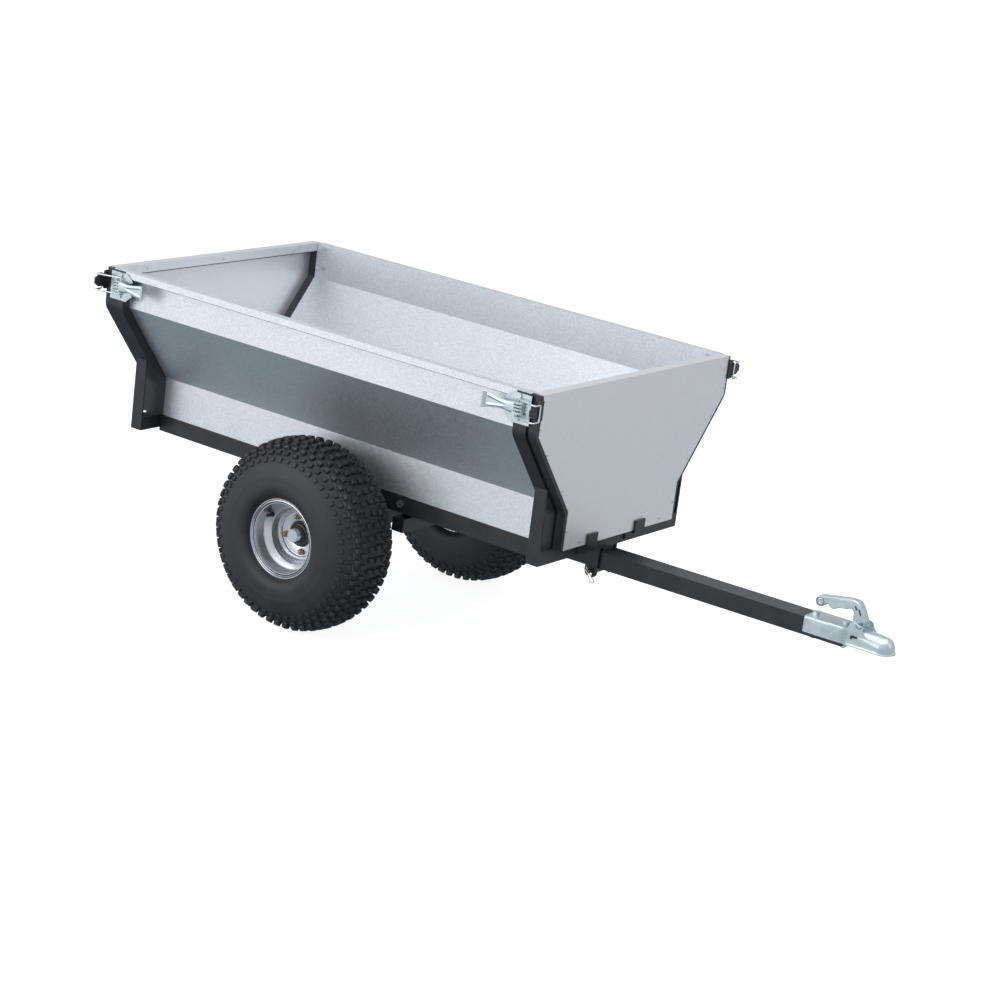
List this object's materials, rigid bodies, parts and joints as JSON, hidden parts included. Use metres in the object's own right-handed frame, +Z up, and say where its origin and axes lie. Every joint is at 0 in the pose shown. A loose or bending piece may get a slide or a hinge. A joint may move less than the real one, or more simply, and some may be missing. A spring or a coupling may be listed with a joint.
{
  "type": "atv tipping trailer",
  "caption": "Small two-wheel tipping trailer: V-sided galvanised tub, lift-out latched end gates, black frame, knobbly low-pressure tyres, drawbar with ball coupling.",
  "frame": {"origin": "on the ground, at the middle of the whole trailer's length and width", "axes": "+X forwards to the coupling, +Y to the trailer's left, +Z up"},
  "size_m": [2.4738, 1.0414, 0.8906],
  "materials": {
    "galvanised": "spangled zinc coat, satin",
    "black_frame": "black powder coat, semi-gloss",
    "zinc": "bright zinc plate",
    "zinc_wire": "bright zinc plated wire",
    "yellow_zinc": "yellow passivated zinc",
    "rim_silver": "silver paint, satin",
    "tyre": "matt black tread rubber",
    "hub_black": "black paint, satin",
    "rubber": "moulded black rubber",
    "cap_plastic": "moulded black plastic",
    "bearing_steel": "ground steel"
  },
  "bodies": {
    "drawbar": {"drawbar": "black_frame", "cross_tube": "black_frame", "cross_tube_caps": "cap_plastic", "pivot_bolts": "zinc", "rest_pad": "rubber", "pin_bush": "black_frame", "coupler_body": "zinc", "coupler_bolts": "zinc", "coupler_pivot": "zinc"},
    "tub": {"left_panel": "galvanised", "right_panel": "galvanised", "floor_panel": "galvanised", "side_rails": "black_frame", "cross_members": "black_frame", "floor_cross_bars": "black_frame", "posts": "black_frame", "post_struts": "black_frame", "gate_keepers": "black_frame", "axle_beam": "black_frame", "axle_brackets": "black_frame", "spindles": "bearing_steel", "spindle_nuts": "zinc", "release_lugs": "black_frame", "latch_bases": "zinc", "latch_pins": "zinc", "carriage_bolts": "zinc"},
    "release_pin": {"release_pin": "yellow_zinc"},
    "retaining_clip": {"retaining_clip": "zinc_wire"},
    "coupler_handle": {"coupler_handle": "zinc"},
    "coupler_clamp": {"coupler_clamp": "bearing_steel"},
    "right_wheel": {"right_tyre": "tyre", "right_rim": "rim_silver", "right_hub": "hub_black", "right_bearings": "bearing_steel", "right_hub_cap": "zinc", "right_wheel_bolts": "yellow_zinc", "right_valve": "rubber"},
    "left_wheel": {"left_tyre": "tyre", "left_rim": "rim_silver", "left_hub": "hub_black", "left_bearings": "bearing_steel", "left_hub_cap": "zinc", "left_wheel_bolts": "yellow_zinc", "left_valve": "rubber"},
    "front_gate": {"front_gate_sheet": "galvanised", "front_gate_frame": "black_frame", "front_gate_catches": "black_frame", "front_gate_rivets": "zinc"},
    "rear_gate": {"rear_gate_sheet": "galvanised", "rear_gate_frame": "black_frame", "rear_gate_catches": "black_frame", "rear_gate_rivets": "zinc"},
    "front_right_latch_lever": {"front_right_latch_lever": "zinc"},
    "front_right_latch_bail": {"front_right_latch_bail": "zinc_wire"},
    "front_left_latch_lever": {"front_left_latch_lever": "zinc"},
    "front_left_latch_bail": {"front_left_latch_bail": "zinc_wire"},
    "rear_right_latch_lever": {"rear_right_latch_lever": "zinc"},
    "rear_right_latch_bail": {"rear_right_latch_bail": "zinc_wire"},
    "rear_left_latch_lever": {"rear_left_latch_lever": "zinc"},
    "rear_left_latch_bail": {"rear_left_latch_bail": "zinc_wire"}
  },
  "joints": [
    {"name": "tub_tip", "type": "hinge", "parent": "drawbar", "child": "tub", "pos_m": [-0.2221, 0, 0.406], "axis": [0, -1, 0], "range_deg": [0, 28]},
    {"name": "release_pin_pull", "type": "slide", "parent": "drawbar", "child": "release_pin", "axis": [0, -1, 0], "range_m": [0, 0.1]},
    {"name": "clip_pull", "type": "slide", "parent": "release_pin", "child": "retaining_clip", "axis": [0.6428, 0, -0.766], "range_m": [0, 0.03]},
    {"name": "coupler_handle_lift", "type": "hinge", "parent": "drawbar", "child": "coupler_handle", "pos_m": [1.12517, 0, 0.40884], "axis": [0, 1, 0], "range_deg": [0, 50]},
    {"name": "coupler_clamp_slide", "type": "slide", "parent": "drawbar", "child": "coupler_clamp", "axis": [-0.9999, 0, -0.014], "range_m": [0, 0.009]},
    {"name": "right_wheel_spin", "type": "hinge", "parent": "tub", "child": "right_wheel", "pos_m": [-0.4461, -0.40165, 0.2795], "axis": [0, 1, 0], "continuous": true},
    {"name": "left_wheel_spin", "type": "hinge", "parent": "tub", "child": "left_wheel", "pos_m": [-0.4461, 0.40165, 0.2795], "axis": [0, 1, 0], "continuous": true},
    {"name": "front_gate_lift", "type": "slide", "parent": "tub", "child": "front_gate", "axis": [0, 0, 1], "range_m": [0, 0.3]},
    {"name": "rear_gate_lift", "type": "slide", "parent": "tub", "child": "rear_gate", "axis": [0, 0, 1], "range_m": [0, 0.3]},
    {"name": "front_right_lever_swing", "type": "hinge", "parent": "tub", "child": "front_right_latch_lever", "pos_m": [0.2989, -0.481, 0.846], "axis": [0, 0, 1], "range_deg": [0, 95]},
    {"name": "front_right_bail_turn", "type": "hinge", "parent": "front_right_latch_lever", "child": "front_right_latch_bail", "pos_m": [0.2789, -0.481, 0.846], "axis": [0, 0, 1], "range_deg": [-95, 0]},
    {"name": "front_left_lever_swing", "type": "hinge", "parent": "tub", "child": "front_left_latch_lever", "pos_m": [0.2989, 0.481, 0.846], "axis": [0, 0, -1], "range_deg": [0, 95]},
    {"name": "front_left_bail_turn", "type": "hinge", "parent": "front_left_latch_lever", "child": "front_left_latch_bail", "pos_m": [0.2789, 0.481, 0.846], "axis": [0, 0, -1], "range_deg": [-95, 0]},
    {"name": "rear_right_lever_swing", "type": "hinge", "parent": "tub", "child": "rear_right_latch_lever", "pos_m": [-1.1771, -0.481, 0.846], "axis": [0, 0, -1], "range_deg": [0, 95]},
    {"name": "rear_right_bail_turn", "type": "hinge", "parent": "rear_right_latch_lever", "child": "rear_right_latch_bail", "pos_m": [-1.1571, -0.481, 0.846], "axis": [0, 0, -1], "range_deg": [-95, 0]},
    {"name": "rear_left_lever_swing", "type": "hinge", "parent": "tub", "child": "rear_left_latch_lever", "pos_m": [-1.1771, 0.481, 0.846], "axis": [0, 0, 1], "range_deg": [0, 95]},
    {"name": "rear_left_bail_turn", "type": "hinge", "parent": "rear_left_latch_lever", "child": "rear_left_latch_bail", "pos_m": [-1.1571, 0.481, 0.846], "axis": [0, 0, 1], "range_deg": [-95, 0]}
  ],
  "couplings": [
    {"joint": "coupler_clamp_slide", "follows": "coupler_handle_lift", "m_per_rad": 0.01},
    {"joint": "front_right_bail_turn", "follows": "front_right_lever_swing", "ratio": -1},
    {"joint": "front_left_bail_turn", "follows": "front_left_lever_swing", "ratio": -1},
    {"joint": "rear_right_bail_turn", "follows": "rear_right_lever_swing", "ratio": -1},
    {"joint": "rear_left_bail_turn", "follows": "rear_left_lever_swing", "ratio": -1}
  ]
}
